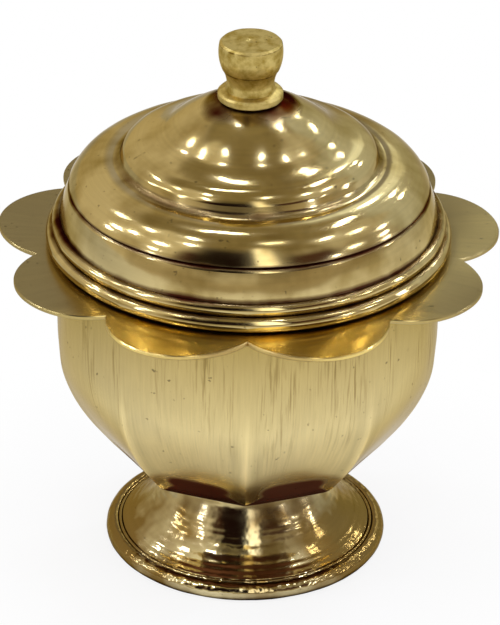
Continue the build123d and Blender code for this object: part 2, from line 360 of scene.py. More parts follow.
# Spun and buffed by hand: bright and uneven, dark where the buff didn't reach, with painted shade at the
# sides.
foot_brass = brass_finish(
    "brass_spun_and_hand_buffed", clean="#e2d4a4", dull="#886e3c", stain_and_shade_colour="#3a2014",
    rough=0.09, blotch_mm=9.0, marks="round", mark_mm=0.6, mark_depth_mm=0.001, specks=0.3,
    side_shade_mm=32, dents_mm=1.2,
)
# Turned from rod: yellower metal, satin from the tool, with open pits.
knob_brass = brass_finish(
    "brass_turned_from_rod", clean="#d2bc74", dull="#a68c40", stain_and_shade_colour="#4a3012",
    rough=0.38, blotch_mm=1.3, marks="round", mark_mm=0.35, mark_depth_mm=0.005, specks=0.8,
)
# Sheet and wire as bought: dull, no polish.
plain_brass = brass_finish(
    "brass_sheet_unpolished", clean="#b2935a", dull="#8c7040", stain_and_shade_colour="#4a3216",
    rough=0.40, blotch_mm=4.0, marks="round", mark_mm=0.8, mark_depth_mm=0.003,
)

# %% [markdown]
# ## Spun pieces
# Lid, foot and knob are all round: a profile, turned about an axis. On the real thing the
# sheet is pressed over a wooden chuck on a lathe. A Screw modifier could do it. Here a Geometry
# Nodes tree does, because it carries the dirt and painted shade along and can move the surface
# too: a grid takes one column per step of the turn and one row per point of the profile. Hand
# polish leaves the metal slightly wavy, which is what breaks a lamp's reflection into patches, so
# the tree also moves the surface by a few hundredths of a millimetre.

# %% Parts that both shape trees share
def new_shape_tree(name, *inputs):
    """An empty Geometry Nodes tree with named inputs, and its group input and output nodes."""
    tree = bpy.data.node_groups.new(name, "GeometryNodeTree")
    tree.interface.new_socket("Geometry", in_out="INPUT", socket_type="NodeSocketGeometry")
    for label, kind in inputs:
        tree.interface.new_socket(label, in_out="INPUT", socket_type="NodeSocket" + kind)
    tree.interface.new_socket("Geometry", in_out="OUTPUT", socket_type="NodeSocketGeometry")
    return tree, add_node(tree, "NodeGroupInput", out=None), tree.nodes.new("NodeGroupOutput")


def wavy(tree, geometry, given):
    """Moves a surface in and out by a random wave, drawn out upright where that is below one."""
    height, size, seed = given["Wave height"], given["Wave size"], given["Seed"]
    place = add_node(tree, "GeometryNodeInputPosition")
    drawn_out = add_node(tree, "ShaderNodeCombineXYZ", {"X": 1.0, "Y": 1.0, "Z": given["Upright"]})
    position = add_node(tree, "ShaderNodeVectorMath", {0: place, 1: drawn_out}, operation="MULTIPLY")
    scale = add_node(tree, "ShaderNodeMath", {0: 1.0, 1: size}, operation="DIVIDE")
    wave = add_node(
        tree, "ShaderNodeTexNoise",
        {"Vector": position, "W": seed, "Scale": scale, "Detail": given["Wave detail"]},
        noise_dimensions="4D",
    )
    centred = add_node(tree, "ShaderNodeMath", {0: wave, 1: 0.5}, operation="SUBTRACT")
    amount = add_node(tree, "ShaderNodeMath", {0: centred, 1: height}, operation="MULTIPLY")
    normal = add_node(tree, "GeometryNodeInputNormal")
    offset = add_node(tree, "ShaderNodeVectorMath", {0: normal, "Scale": amount}, operation="SCALE")
    return add_node(tree, "GeometryNodeSetPosition", {"Geometry": geometry, "Offset": offset})


def end_tree(tree, geometry, brass, output):
    """Closes a tree: smooth shading, real geometry, and the piece's own material."""
    smooth = add_node(tree, "GeometryNodeSetShadeSmooth", {"Geometry": geometry})
    real = add_node(tree, "GeometryNodeRealizeInstances", {"Geometry": smooth})
    painted = add_node(tree, "GeometryNodeSetMaterial", {"Geometry": real, "Material": brass})
    tree.links.new(painted, output.inputs[0])


SEAM_M = 2e-6
waves = [(label, "Float") for label in ("Wave height", "Wave size", "Wave detail", "Upright", "Seed")]
waves.append(("Brass", "Material"))
print("inputs of every shape tree", [label for label, kind in waves])

# %% The spinning tree
spin, given, result = new_shape_tree("spin_a_profile", ("Steps around", "Int"), *waves)
profile, steps = given["Geometry"], given["Steps around"]
profile_points = add_node(spin, "GeometryNodeAttributeDomainSize", {"Geometry": profile})
columns = add_node(spin, "ShaderNodeMath", {0: steps, 1: 1.0})
grid = add_node(spin, "GeometryNodeMeshGrid", {"Vertices X": columns, "Vertices Y": profile_points})
index = add_node(spin, "GeometryNodeInputIndex")
row = add_node(spin, "ShaderNodeMath", {0: index, 1: profile_points}, operation="MODULO")
part_of = add_node(spin, "ShaderNodeMath", {0: index, 1: profile_points}, operation="DIVIDE")
column = add_node(spin, "ShaderNodeMath", {0: part_of}, operation="FLOOR")
turn = add_node(spin, "ShaderNodeMath", {0: column, 1: steps}, operation="DIVIDE")
angle = add_node(spin, "ShaderNodeMath", {0: turn, 1: math.tau}, operation="MULTIPLY")
profile_position = add_node(spin, "GeometryNodeInputPosition")
profile_at = add_node(
    spin, "GeometryNodeSampleIndex",
    {"Geometry": profile, "Value": profile_position, "Index": row}, data_type="FLOAT_VECTOR",
)
radius_height = add_node(spin, "ShaderNodeSeparateXYZ", {"Vector": profile_at}, out=None)
arm = add_node(spin, "ShaderNodeCombineXYZ", {"Y": radius_height["X"], "Z": radius_height["Z"]})
spun_position = add_node(
    spin, "ShaderNodeVectorRotate", {"Vector": arm, "Angle": angle}, rotation_type="Z_AXIS"
)
stain_and_shade_here = add_node(spin, "GeometryNodeInputNamedAttribute", {"Name": "stain_and_shade"})
stain_and_shade_at = add_node(
    spin, "GeometryNodeSampleIndex", {"Geometry": profile, "Value": stain_and_shade_here, "Index": row}
)
stain_and_shade_grid = add_node(
    spin, "GeometryNodeStoreNamedAttribute", {"Geometry": grid, "Name": "stain_and_shade", "Value": stain_and_shade_at}
)
turned_grid = add_node(
    spin, "GeometryNodeSetPosition", {"Geometry": stain_and_shade_grid, "Position": spun_position}
)
closed = add_node(spin, "GeometryNodeMergeByDistance", {"Geometry": turned_grid, "Distance": SEAM_M})
moved = wavy(spin, closed, given)
end_tree(spin, moved, given["Brass"], result)
print("tree", spin.name, len(spin.nodes), "nodes")

# %% [markdown]
# A shape from a tree still hangs on its modifier. The next helper sets the modifier's inputs by
# their identifiers, turns the result into a plain mesh, faces it outwards, and gives it to the
# body it moves with.

# %% From a tree to a finished piece
def finish_piece(name, start, tree, inputs, sharp_degrees, body):
    """Runs a tree on a start mesh and hands over the result as one plain piece."""
    carrier = bpy.data.objects.new(name + "_start", start)
    scene.collection.objects.link(carrier)
    modifier = carrier.modifiers.new("shape", "NODES")
    modifier.node_group = tree
    for socket in tree.interface.items_tree:
        if socket.in_out == "INPUT" and socket.name in inputs:
            modifier[socket.identifier] = inputs[socket.name]
    depsgraph = bpy.context.evaluated_depsgraph_get()
    mesh = bpy.data.meshes.new_from_object(carrier.evaluated_get(depsgraph), depsgraph=depsgraph)
    bpy.data.objects.remove(carrier)
    edit = bmesh.new()
    edit.from_mesh(mesh)
    bmesh.ops.dissolve_degenerate(edit, dist=1e-7, edges=edit.edges)
    bmesh.ops.recalc_face_normals(edit, faces=edit.faces)
    edit.to_mesh(mesh)
    edit.free()
    mesh.set_sharp_from_angle(angle=math.radians(sharp_degrees))
    piece = bpy.data.objects.new(name, mesh)
    scene.collection.objects.link(piece)
    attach(piece, body)
    print("piece", name, len(mesh.polygons), "faces")
    return piece


# %% [markdown]
# A profile is a chain of straight and bowed stretches, the way a turner's template is drawn.
# A bow is the height of an arc above its chord, to the left of the way the outline runs.

# %% Draw profiles
def outline(start, *stretches):
    """Points (radius, height) along stretches, each given as its end, its bow in mm and its steps."""
    points, here = [], start
    for end, bow, steps in stretches:
        along, up = end[0] - here[0], end[1] - here[1]
        chord = math.hypot(along, up)
        half_turn = 2 * math.atan2(2 * abs(bow), chord)
        for n in range(steps):
            forward, side = chord * n / steps, 0.0
            if bow:
                size, turn = chord / (2 * math.sin(half_turn)), half_turn * (2 * n / steps - 1)
                forward = chord / 2 + size * math.sin(turn)
                side = math.copysign(size * (math.cos(turn) - math.cos(half_turn)), bow)
            r = here[0] + (forward * along - side * up) / chord
            z = here[1] + (forward * up + side * along) / chord
            points.append((r, z))
        here = end
    return points + [here]


def profile_mesh(name, points, stain_and_shade):
    """A profile as a chain of points in the XZ plane, with how much dirt and painted shade each point gets.
    """
    mesh = bpy.data.meshes.new(name)
    places = [(r * MM, 0, z * MM) for r, z in points]
    mesh.from_pydata(places, [(n, n + 1) for n in range(len(places) - 1)], [])
    mesh.attributes.new("stain_and_shade", "FLOAT", "POINT").data.foreach_set("value", stain_and_shade)
    return mesh


def left_of(points):
    """Unit vectors to the left of the way a profile runs, one for each point."""
    along = np.gradient(np.array(points), axis=0)
    return np.stack([-along[:, 1], along[:, 0]], 1) / np.linalg.norm(along, axis=1, keepdims=True)


print("a quarter circle by its bow", [round(v, 3) for v in outline((0, 1), ((1, 0), 0.2929, 2))[1]])

# %% [markdown]
# Polish and cloth miss the hollows, so tarnish stays there. Where a profile bends inwards is
# found from the profile itself, and lines of dirt at a known height are listed.

# %% Where a profile is dirty
FINE_STEP = 0.05


def hollow_stain(points, reach_mm):
    """How hollow a profile is at each point, 0 to 1."""
    path = np.array(points)
    length = np.concatenate([[0], np.cumsum(np.hypot(*np.diff(path, axis=0).T))])
    fine = np.arange(0, length[-1], FINE_STEP)
    smooth = np.stack([np.interp(fine, length, path[:, k]) for k in (0, 1)], 1)
    shift = max(1, int(reach_mm / FINE_STEP))
    before = smooth - np.roll(smooth, shift, 0)
    after = np.roll(smooth, -shift, 0) - smooth
    bend = before[:, 0] * after[:, 1] - before[:, 1] * after[:, 0]
    bend = np.clip(bend / reach_mm**2, 0, 1)
    bend[:shift], bend[-shift:] = 0, 0
    return np.interp(length, fine, bend)


def dirt_lines(heights, lines):
    """Soft lines of dirt, each given as its height, its strength and its width."""
    return sum(dirt * np.exp(-(((heights - level) / width) ** 2)) for level, dirt, width in lines)


print("dirt half a width from a line", round(float(dirt_lines(np.array([0.5]), ((0, 1, 1),))[0]), 2))

# %% [markdown]
# ## The lid
# A dome in three tiers: the crown sweeps up in an ogee to the knob, a round tier swells below
# it, and a plain band runs down to two beads at the rim. Stacked balls and rings could give the
# tiers, but not the sweep from one to the next, so it is one profile. That goes down the outside
# and back up the inside, so the sheet has its real thickness and the inside is finished too.

# %% Draw the lid's profile
SHEET, SCREW_HOLE_R = 0.6, 1.6
LID_BASE, CROWN_Z = 46.35, 67.6
CROWN_R, TIER_R, BAND_R, RIM_R = 17.1, 24.5, 25.7, 27.65
BAND_LOW_Z, GROOVE_Z, TIER_Z, CROWN_LOW_Z = (LID_BASE + rise for rise in (4.05, 8.2, 12.1, 13.7))
BEADS_MEET_Z, BORE_R = LID_BASE + 2.1, BAND_R - SHEET
crown_turn = (0.67 * CROWN_R, CROWN_Z - 0.59 * (CROWN_Z - CROWN_LOW_Z))
dome = outline(
    (SCREW_HOLE_R, CROWN_Z),
    ((3.3, CROWN_Z), 0, 3),  # flat under the knob
    (crown_turn, 0.52, 22),  # crown, full above
    ((CROWN_R - 1.9, CROWN_LOW_Z + 1.33), -0.2, 18),  # and hollow below
    ((CROWN_R, CROWN_LOW_Z), 0.16, 12),  # its round edge
    ((CROWN_R + 0.4, TIER_Z + 0.55), 0, 5),
    ((CROWN_R + 1.5, TIER_Z), -0.14, 6),  # hollow at the step's foot
    ((TIER_R, GROOVE_Z + 0.2), 1.05, 36),  # round tier, one full arc
    ((TIER_R - 0.35, GROOVE_Z), 0, 3),
    ((TIER_R + 0.1, GROOVE_Z - 0.3), 0, 3),  # groove under it
    ((BAND_R, BAND_LOW_Z), 0.08, 14),  # plain band
)
beads = outline(
    (BAND_R, BAND_LOW_Z),
    ((BAND_R + 0.1, BAND_LOW_Z - 0.3), 0, 2),
    ((BAND_R + 0.65, BEADS_MEET_Z), 0.77, 14),  # upper bead
    ((RIM_R - 1.05, LID_BASE), 1.176, 18),  # lower bead
    ((BORE_R, LID_BASE), 0, 3),  # seat
    ((BORE_R, BAND_LOW_Z - SHEET), 0, 4),
)
inside = [tuple(p) for p in (np.array(dome) - SHEET * left_of(dome))[::-2]]
inside = [p for p in inside if SCREW_HOLE_R < p[0] < BORE_R and p[1] > BAND_LOW_Z - SHEET]
lid_points = dome[:-1] + beads + inside + [(SCREW_HOLE_R, CROWN_Z - SHEET), (SCREW_HOLE_R, CROWN_Z)]
print("lid profile", len(lid_points), "points")

# %% Stain the lid, paint the collar's reflection, and spin it
# Painted reflection: the crown darkens round the collar, for the collar's dark underside mirrored in it.
COLLAR_REFLECTION_R, COLLAR_REFLECTION_FADE, COLLAR_REFLECTION = 7.6, 2.6, 0.65
# Dirt lies under the tier, over the beads and between them.
LID_DIRT = ((GROOVE_Z, 0.85, 0.40), (BAND_LOW_Z - 0.2, 0.7, 0.32), (BEADS_MEET_Z, 0.6, 0.22))
lid_r, lid_z = np.array(lid_points).T
collar_reflection = np.clip((COLLAR_REFLECTION_R - lid_r) / COLLAR_REFLECTION_FADE, 0, COLLAR_REFLECTION)
lid_stain_and_reflection = np.max([0.8 * hollow_stain(lid_points, 0.9), collar_reflection, dirt_lines(lid_z, LID_DIRT)], axis=0)
lid = finish_piece(
    "lid_dome", profile_mesh("lid_profile", lid_points, lid_stain_and_reflection), spin,
    {"Steps around": 256, "Wave height": 0.18 * MM, "Wave size": 7 * MM, "Wave detail": 1.6,
     "Upright": 1.0, "Seed": 3.0, "Brass": lid_brass},
    sharp_degrees=38, body="lid",
)
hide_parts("lid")

# %% [markdown]
# ## The foot
# A flared skirt, its lower edge rolled round a wire, with the lip of the roll showing as a fine
# line. The forming tool left fine ripples round the skirt, and it was dressed with a hammer, so
# it is the waviest piece. The ripples could be bump in the finish. They are in the profile,
# because there they break up what the metal mirrors from every side.

# %% Draw the foot's profile
FOOT_H, NECK_R, FLARE_R, ROLL_R = 11.7, 9.8, 17.85, 1.2
RIPPLE_PITCH, RIPPLE_DEPTH, RIPPLE_DRIFT, FLARE_LENGTH = 1.3, 0.02, 1.6, 12.6
ROLL_FLATTENED, ROLL_OUT, ROLL_FROM, ROLL_TO = 0.25, 0.42, 108, -205
roll_z, roll_centre_r = ROLL_R - ROLL_FLATTENED, FLARE_R + ROLL_OUT * ROLL_R
flare = outline((NECK_R, FOOT_H - 0.5), ((FLARE_R - 0.6, 2.25), -1.25, 110))
way_down = np.linspace(0, FLARE_LENGTH, len(flare))
ripples = np.sin(math.tau * way_down / RIPPLE_PITCH + RIPPLE_DRIFT * np.sin(1.1 * way_down))
flare = [tuple(p) for p in np.array(flare) + RIPPLE_DEPTH / 2 * ripples[:, None] * left_of(flare)]
lip = outline(
    flare[-1],
    ((FLARE_R - 0.5, 2.02), 0, 2),
    ((FLARE_R - 0.02, 2.0), 0.22, 8),
    ((FLARE_R + 0.06, 1.9), 0, 2),
)


def on_roll(degrees):
    """A point on the rolled edge, by the direction from the wire's middle."""
    turn = math.radians(degrees)
    return (roll_centre_r + ROLL_R * math.cos(turn), max(roll_z + ROLL_R * math.sin(turn), 0.0))


rolled = [on_roll(d) for d in np.linspace(ROLL_FROM, ROLL_TO, 48)]
under_flare = [tuple(p) for p in (np.array(flare) - SHEET * left_of(flare))[::-5]]
foot_points = (
    outline((0, FOOT_H), ((NECK_R - 0.5, FOOT_H), 0, 6), ((NECK_R, FOOT_H - 0.5), 0.146, 5))[:-1]
    + flare[:-1] + lip + rolled
    + [p for p in under_flare if p[0] < rolled[-1][0] - 0.1]
    + [(NECK_R - 1.2, FOOT_H - SHEET), (0, FOOT_H - SHEET)]
)
print("foot profile", len(foot_points), "points")

# %% Stain the foot, paint its shade, and spin it
# Painted shade: the neck darkens under the bowl, and the roll darkens towards its lower edge.
SHADE_UNDER_BOWL_Z, SHADE_UNDER_BOWL_FADE, SHADE_UNDER_BOWL = 7.0, 3.5, 0.3
ROLL_SHADE_Z, ROLL_SHADE_FADE, ROLL_SHADE = 1.1, 0.8, 0.7
foot_z = np.array(foot_points)[:, 1]
shade_under_bowl = np.clip((foot_z - SHADE_UNDER_BOWL_Z) / SHADE_UNDER_BOWL_FADE, 0, SHADE_UNDER_BOWL)
roll_shade = ROLL_SHADE * np.clip((ROLL_SHADE_Z - foot_z) / ROLL_SHADE_FADE, 0, 1)
foot_stain_and_shade = np.max([hollow_stain(foot_points, 0.35), shade_under_bowl, roll_shade], axis=0)
foot = finish_piece(
    "foot_skirt", profile_mesh("foot_profile", foot_points, foot_stain_and_shade), spin,
    {"Steps around": 288, "Wave height": 0.20 * MM, "Wave size": 5 * MM, "Wave detail": 2.0,
     "Upright": 0.45, "Seed": 11.0, "Brass": foot_brass},
    sharp_degrees=38, body="box",
)
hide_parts("foot")

# %% [markdown]
# ## The knob
# Turned from rod: a barrel head over a drawn-in neck and a flat collar. A knob this small keeps
# its tool marks. All of them in the profile would need a very fine mesh, so only a step and a
# centre dimple are cut there, and the rest are in the finish.

# %% Draw the knob's profile and spin it
KNOB_H, HEAD_R, KNOB_NECK_R, COLLAR_R, THREAD_R, THREAD_DEPTH = 8.4, 4.35, 3.2, 4.42, 1.5, 6.1
# Dirt lies at the head's lower step and round the top's edge, by shares of the knob's height.
KNOB_DIRT = ((0.517, 0.6, 0.012), (0.965, 0.45, 0.01))


def knob_at(radius, share):
    """A point of the knob at a share of its height."""
    return (radius, CROWN_Z + share * KNOB_H)


knob_points = outline(
    knob_at(0, 0.992),
    (knob_at(0.3, 0.992), 0, 1),
    (knob_at(0.45, 1.0), 0, 1),
    (knob_at(HEAD_R - 0.42, 1.0), 0, 8),
    (knob_at(HEAD_R - 0.12, 0.965), 0, 3),
    (knob_at(HEAD_R - 0.5, 0.525), 0.286, 18),
    (knob_at(HEAD_R - 0.62, 0.51), 0, 2),
    (knob_at(KNOB_NECK_R, 0.275), -0.10, 12),
    (knob_at(KNOB_NECK_R + 0.2, 0.17), 0, 4),
    (knob_at(COLLAR_R - 0.25, 0.14), 0, 4),
    (knob_at(COLLAR_R, 0.11), 0, 3),
    (knob_at(COLLAR_R, 0.025), 0, 4),
    (knob_at(COLLAR_R - 0.2, 0), 0, 2),
    (knob_at(THREAD_R, 0), 0, 4),
    ((THREAD_R, CROWN_Z + THREAD_DEPTH), 0, 1),
    ((0, CROWN_Z + THREAD_DEPTH), 0, 1),
)
share_up = (np.array(knob_points)[:, 1] - CROWN_Z) / KNOB_H
knob_stain = np.maximum(0.15 * hollow_stain(knob_points, 0.4), dirt_lines(share_up, KNOB_DIRT))
knob = finish_piece(
    "knob_turned", profile_mesh("knob_profile", knob_points, knob_stain), spin,
    {"Steps around": 128, "Wave height": 0.05 * MM, "Wave size": 1.6 * MM, "Wave detail": 1.0,
     "Upright": 1.0, "Seed": 5.0, "Brass": knob_brass},
    sharp_degrees=32, body="lid",
)
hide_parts("knob")

# %% [markdown]
# ## The bowl
# Nine flutes below and nine petals above, all alike. A spun bowl could be pushed in to make the
# flutes, but their ridges would come out soft. One ninth is enough: a slice from ridge to ridge,
# outside and inside, with half of a notch at each edge. A second tree then sets nine slices round
# the axis, joins them, and bends the petals up and down a little, as snipped sheet always is.

# %% The tree that repeats a slice
NOTCH_R, TIP_R, PETAL_BEND_FROM, PETAL_BEND_MM = 29.2, 34.7, 28.2, 24
ring, given, result = new_shape_tree(
    "slices_round_the_axis", ("Slices", "Int"), ("Petal bend", "Float"), *waves
)
slots_round = add_node(ring, "GeometryNodePoints", {"Count": given["Slices"]})
slice_index = add_node(ring, "GeometryNodeInputIndex")
share = add_node(ring, "ShaderNodeMath", {0: slice_index, 1: given["Slices"]}, operation="DIVIDE")
slice_turn = add_node(ring, "ShaderNodeMath", {0: share, 1: math.tau}, operation="MULTIPLY")
slice_rotation = add_node(ring, "ShaderNodeCombineXYZ", {"Z": slice_turn})
slices = add_node(
    ring, "GeometryNodeInstanceOnPoints",
    {"Points": slots_round, "Instance": given["Geometry"], "Rotation": slice_rotation},
)
whole = add_node(ring, "GeometryNodeRealizeInstances", {"Geometry": slices})
joined = add_node(ring, "GeometryNodeMergeByDistance", {"Geometry": whole, "Distance": SEAM_M})
point = add_node(ring, "GeometryNodeInputPosition")
flattened = add_node(ring, "ShaderNodeVectorMath", {0: point, 1: (1, 1, 0)}, operation="MULTIPLY")
out_by = add_node(ring, "ShaderNodeVectorMath", {0: flattened}, operation="LENGTH", out="Value")
past_rim = add_node(
    ring, "ShaderNodeMapRange",
    {"Value": out_by, "From Min": PETAL_BEND_FROM * MM, "From Max": TIP_R * MM},
)
bend_noise = add_node(
    ring, "ShaderNodeTexNoise",
    {"Vector": flattened, "Scale": per_mm(PETAL_BEND_MM), "Detail": 0.0, "W": given["Seed"]},
    noise_dimensions="4D",
)
bend_share = add_node(ring, "ShaderNodeMath", {0: bend_noise, 1: 0.5}, operation="SUBTRACT")
bend_here = add_node(ring, "ShaderNodeMath", {0: bend_share, 1: past_rim}, operation="MULTIPLY")
bend_by = add_node(ring, "ShaderNodeMath", {0: bend_here, 1: given["Petal bend"]}, operation="MULTIPLY")
bend_up = add_node(ring, "ShaderNodeCombineXYZ", {"Z": bend_by})
bent = add_node(ring, "GeometryNodeSetPosition", {"Geometry": joined, "Offset": bend_up})
moved = wavy(ring, bent, given)
end_tree(ring, moved, given["Brass"], result)
print("tree", ring.name, len(ring.nodes), "nodes")

# %% [markdown]
# The belly is given by ten outlines: the height and radius of each, as shares of the belly's
# height and width, and the depth of its flutes in millimetres. A smooth curve runs through them
# by length, so the steep and the flat parts both get enough points.

# %% The belly's curve
PETALS, SEAT_Z, RIM_TOP, WALL_R, SEAT_R, BELLY_H = 9, 12.0, 46.2, 26.2, 11.0, 24.0
MOUTH_R, RIM_UNDER, WALL_LOW_Z = WALL_R - SHEET, RIM_TOP - SHEET, SEAT_Z + BELLY_H
BELLY_STEPS, TURN_STEPS = 64, 33
belly = np.array(
    [(0.0, 0.0, 0.45), (0.016, 0.165, 0.60), (0.042, 0.300, 0.80), (0.096, 0.435, 1.10),
     (0.208, 0.592, 1.40), (0.333, 0.740, 1.45), (0.5, 0.886, 1.15), (0.667, 0.974, 0.65),
     (0.833, 0.998, 0.15), (1.0, 1.0, 0.0)]
)
belly[:, 0] = SEAT_Z + belly[:, 0] * BELLY_H
belly[:, 1] = SEAT_R + belly[:, 1] * (WALL_R - SEAT_R)


def soft_curve(knots, values, at):
    """A smooth curve through knots, by cubic pieces with matched slopes."""
    slopes = np.gradient(values, knots)
    n = np.clip(np.searchsorted(knots, at) - 1, 0, len(knots) - 2)
    h = knots[n + 1] - knots[n]
    t = (at - knots[n]) / h
    a, b, c, d = (1 + 2 * t) * (1 - t) ** 2, t * (1 - t) ** 2, t * t * (3 - 2 * t), t * t * (t - 1)
    return a * values[n] + b * h * slopes[n] + c * values[n + 1] + d * h * slopes[n + 1]


by_length = np.concatenate([[0], np.cumsum(np.hypot(*np.diff(belly[:, :2], axis=0).T))])
steps_up = np.linspace(0, by_length[-1], BELLY_STEPS)
wall_z, wall_r, wall_depth = (soft_curve(by_length, belly[:, k], steps_up) for k in range(3))
wall_slope = np.arctan2(np.gradient(wall_r), np.gradient(wall_z))
print("belly curve mm", round(by_length[-1], 1), "deepest flute mm", round(wall_depth.max(), 2))

# %% One slice of the bowl
def flute_radius(ridge_r, middle_r, turn):
    """Radius at an angle from the slice's middle, on the arc through both ridges and the middle."""
    half = math.pi / PETALS
    rx, ry = ridge_r * math.cos(half), ridge_r * math.sin(half)
    drop = middle_r - rx
    if abs(drop) < 1e-6:
        return rx / math.cos(turn)
    centre = middle_r - (drop**2 + ry**2) / (2 * drop)
    size = abs(middle_r - centre)
    root = math.sqrt(max(size**2 - (centre * math.sin(turn)) ** 2, 0))
    return centre * math.cos(turn) + (root if drop > 0 else -root)


rows = []
turns = np.linspace(-math.pi / PETALS, math.pi / PETALS, TURN_STEPS)
for turn in turns:
    outer = [(flute_radius(r, r - d, turn), z) for r, d, z in zip(wall_r, wall_depth, wall_z)]
    inner = [
        (flute_radius(r - SHEET * math.cos(s), r - SHEET * math.cos(s) - d, turn), z + SHEET * math.sin(s))
        for r, d, z, s in zip(wall_r, wall_depth, wall_z, wall_slope)
    ]
    edge = flute_radius(NOTCH_R, TIP_R, turn)
    rim = outline(
        (WALL_R, WALL_LOW_Z + 0.8),
        ((WALL_R, RIM_UNDER - 0.6), 0, 8),
        ((WALL_R + 0.6, RIM_UNDER), 0.1757, 5),
        ((edge - 0.12, RIM_UNDER), 0, 12),
        ((edge, RIM_UNDER + 0.12), 0, 1),
        ((edge, RIM_TOP - 0.12), 0, 1),
        ((edge - 0.12, RIM_TOP), 0, 1),
        ((MOUTH_R + 0.4, RIM_TOP), 0, 14),
        ((MOUTH_R, RIM_TOP - 0.4), -0.117, 4),
        ((MOUTH_R, WALL_LOW_Z + 0.8), 0, 8),
    )
    path = [(0, SEAT_Z), (0.5 * outer[0][0], SEAT_Z)] + outer + rim
    path += inner[::-1] + [(0.5 * inner[0][0], SEAT_Z + SHEET), (0, SEAT_Z + SHEET)]
    rows.append([(r * math.sin(turn), r * math.cos(turn), z) for r, z in path])
points = np.array(rows) * MM
steps_round, steps_along = points.shape[:2]
corner = np.arange(steps_round * steps_along).reshape(steps_round, steps_along)
quads = np.stack([corner[:-1, :-1], corner[:-1, 1:], corner[1:, 1:], corner[1:, :-1]], -1).reshape(-1, 4)
slice_mesh = bpy.data.meshes.new("bowl_slice")
slice_mesh.from_pydata(points.reshape(-1, 3).tolist(), [], quads.tolist())
print("slice", len(quads), "faces")

# %% [markdown]
# Where the bowl is dirty, browned or worn, and where shade and highlights are painted on it, follows
# its shape, so each point of the slice keeps three values that the finish reads: dirt and painted
# shade, ridge and rim. Painted shade is deepest in the flutes where the belly turns under, for the
# dark foot mirrored there, and also lies under the petals; dirt lies on their cut edges.

# %% Mark the slice and build the bowl
DARK_SLOPE, DARK_SLOPE_RIDGE, DARK_FADE = 34.5, 15, 4
PETAL_SHADE_Z, PETAL_SHADE_FADE, PETAL_SHADE, CUT_DIRT = 43.8, 1.6, 0.5, 0.4
RIDGE_WIDTH, RIDGE_SIDE_DARKENING, RIDGE_SIDE_OFF, RIDGE_SIDE_WIDTH = 0.06, 0.4, 0.19, 0.09
RIDGE_MARK_LOW_Z, RIDGE_MARK_LOW_FADE, RIDGE_MARK_HIGH_Z, RIDGE_MARK_HIGH_FADE = 13, 5, 35, 9
height = points[..., 2].ravel() / MM
reach = np.hypot(points[..., 0], points[..., 1]).ravel() / MM
to_ridge = np.abs(turns / turns[-1])
# Painted reflection: where the belly turns under, the flutes are darkened for the dark foot mirrored in
# them.
dark_from = DARK_SLOPE + DARK_SLOPE_RIDGE * to_ridge**5
painted_flute_reflection = np.zeros((steps_round, steps_along))
painted_flute_reflection[:, 2 : 2 + len(wall_slope)] = np.clip(
    (np.degrees(wall_slope)[None] - dark_from[:, None]) / DARK_FADE, 0, 1
)
# Painted shade on the wall just under the petals.
shade_under_petals = np.clip((height - PETAL_SHADE_Z) / PETAL_SHADE_FADE, 0, 1)
shade_under_petals = shade_under_petals * (reach > WALL_R - 0.1) * (height < RIM_UNDER + 0.05)
petal_edge = np.repeat([flute_radius(NOTCH_R, TIP_R, turn) for turn in turns], steps_along)
cut_edge = (reach > petal_edge - 0.13) * (height > RIM_UNDER - 0.05)
bowl_stain_and_shade = np.max([painted_flute_reflection.ravel(), PETAL_SHADE * shade_under_petals, CUT_DIRT * cut_edge], axis=0)
# Ridges are lighter, from rubbing and as a painted highlight, with darker lines beside them, between two
# heights.
off_ridge = np.repeat(1 - to_ridge, steps_along)
rubbed_and_lit = np.exp(-((off_ridge / RIDGE_WIDTH) ** 2))
rubbed_and_lit -= RIDGE_SIDE_DARKENING * np.exp(-(((off_ridge - RIDGE_SIDE_OFF) / RIDGE_SIDE_WIDTH) ** 2))
rubbed_and_lit = rubbed_and_lit * np.clip((height - RIDGE_MARK_LOW_Z) / RIDGE_MARK_LOW_FADE, 0, 1)
rubbed_and_lit = rubbed_and_lit * np.clip((RIDGE_MARK_HIGH_Z - height) / RIDGE_MARK_HIGH_FADE, 0, 1)
rim_share = np.clip((reach - WALL_R) / 0.8, 0, 1) * (height > RIM_TOP - 1.5)
for label, values in (("stain_and_shade", bowl_stain_and_shade), ("ridge", rubbed_and_lit), ("rim", rim_share)):
    slice_mesh.attributes.new(label, "FLOAT", "POINT").data.foreach_set("value", values)
bowl = finish_piece(
    "bowl_fluted", slice_mesh, ring,
    {"Slices": PETALS, "Petal bend": 1.2 * MM, "Wave height": 0.10 * MM, "Wave size": 8 * MM,
     "Wave detail": 0.5, "Upright": 0.6, "Seed": 7.0, "Brass": bowl_brass},
    sharp_degrees=30, body="box",
)
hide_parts("bowl")

# %% [markdown]
# ## Pieces kept from the solids
# The sleeve in the lid, the screw, its washer, the wire and the solder hardly show. They could be
# rebuilt like the rest, but they are simple and already right, so they keep their solids and only
# get the finish they would have.

# %% Finish the small pieces
# Soft solder: grey beside the brass, and dull, because nobody polishes a hidden joint.
soft_solder = brass_finish(
    "soft_solder_dull", clean="#8d8a84", dull="#6e6a62", stain_and_shade_colour="#3c342a",
    rough=0.42, blotch_mm=2.0, marks="none", mark_mm=0.6, mark_depth_mm=0.01,
)
for node, finish in (
    ("lid_sleeve", plain_brass), ("knob_screw", plain_brass), ("knob_washer", plain_brass),
    ("foot_wire", plain_brass), ("foot_solder", soft_solder),
):
    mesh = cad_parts[node].data
    mesh.materials.clear()
    mesh.materials.append(finish)
    print("kept", node, "in", finish.name)

